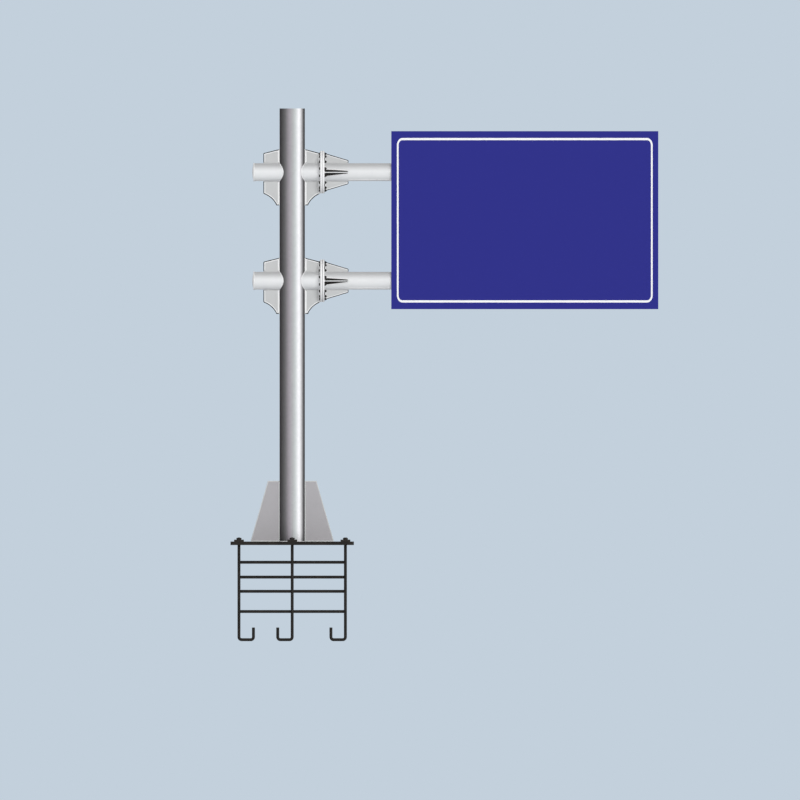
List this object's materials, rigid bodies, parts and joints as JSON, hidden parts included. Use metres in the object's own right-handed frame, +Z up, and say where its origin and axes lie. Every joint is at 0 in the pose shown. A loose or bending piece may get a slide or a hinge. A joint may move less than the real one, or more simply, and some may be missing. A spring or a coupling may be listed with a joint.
{
  "type": "cantilever sign gantry",
  "caption": "Cantilever sign gantry: a tubular steel pole with flanged side arms carrying a rectangular traffic sign, on a base plate with a hooked anchor bolt cage.",
  "frame": {"origin": "centre of the base plate's underside, at ground level on the pole's axis", "axes": "+Z up the pole, +X along the arms towards the sign, -Y out of the sign's face"},
  "size_m": [7.21, 2.08, 8.978],
  "materials": {
    "pole_steel": "galvanised steel tube, semi-bright",
    "arm_steel": "light grey coating on galvanised steel, satin",
    "flange_paint": "near-white coating on steel, satin",
    "stiffener_paint": "mid-grey coating on steel, satin",
    "black_steel": "black bitumen-coated steel, matt",
    "sign_film": "deep blue reflective film on aluminium sheet",
    "rail_aluminium": "mill-finish aluminium extrusion",
    "strap_steel": "hot-dip galvanised steel strap"
  },
  "bodies": {
    "root": {"pole": "pole_steel", "pole_cap": "pole_steel", "stub_end_caps": "arm_steel", "arm_end_caps": "arm_steel", "lower_left_stub": "arm_steel", "lower_right_stub": "arm_steel", "lower_left_gussets": "arm_steel", "lower_right_gussets": "arm_steel", "lower_arm": "arm_steel", "lower_arm_ribs": "arm_steel", "upper_left_stub": "arm_steel", "upper_right_stub": "arm_steel", "upper_left_gussets": "arm_steel", "upper_right_gussets": "arm_steel", "upper_arm": "arm_steel", "upper_arm_ribs": "arm_steel", "lower_stub_flange": "flange_paint", "lower_arm_flange": "flange_paint", "upper_stub_flange": "flange_paint", "upper_arm_flange": "flange_paint", "left_stiffener": "stiffener_paint", "right_stiffener": "stiffener_paint", "base_plate": "black_steel", "anchor_washers": "black_steel", "anchor_nuts": "black_steel", "anchor_bolts_left": "black_steel", "anchor_bolts_middle": "black_steel", "anchor_bolts_right": "black_steel", "anchor_hoop_1": "black_steel", "anchor_hoop_2": "black_steel", "anchor_hoop_3": "black_steel", "anchor_hoop_4": "black_steel", "sign_sheet": "sign_film", "sign_edge_returns": "rail_aluminium", "sign_rail_1": "rail_aluminium", "sign_rail_2": "rail_aluminium", "sign_rail_3": "rail_aluminium", "sign_rail_4": "rail_aluminium", "sign_rail_5": "rail_aluminium", "lower_sign_clamps": "strap_steel", "upper_sign_clamps": "strap_steel"}
  },
  "joints": []
}
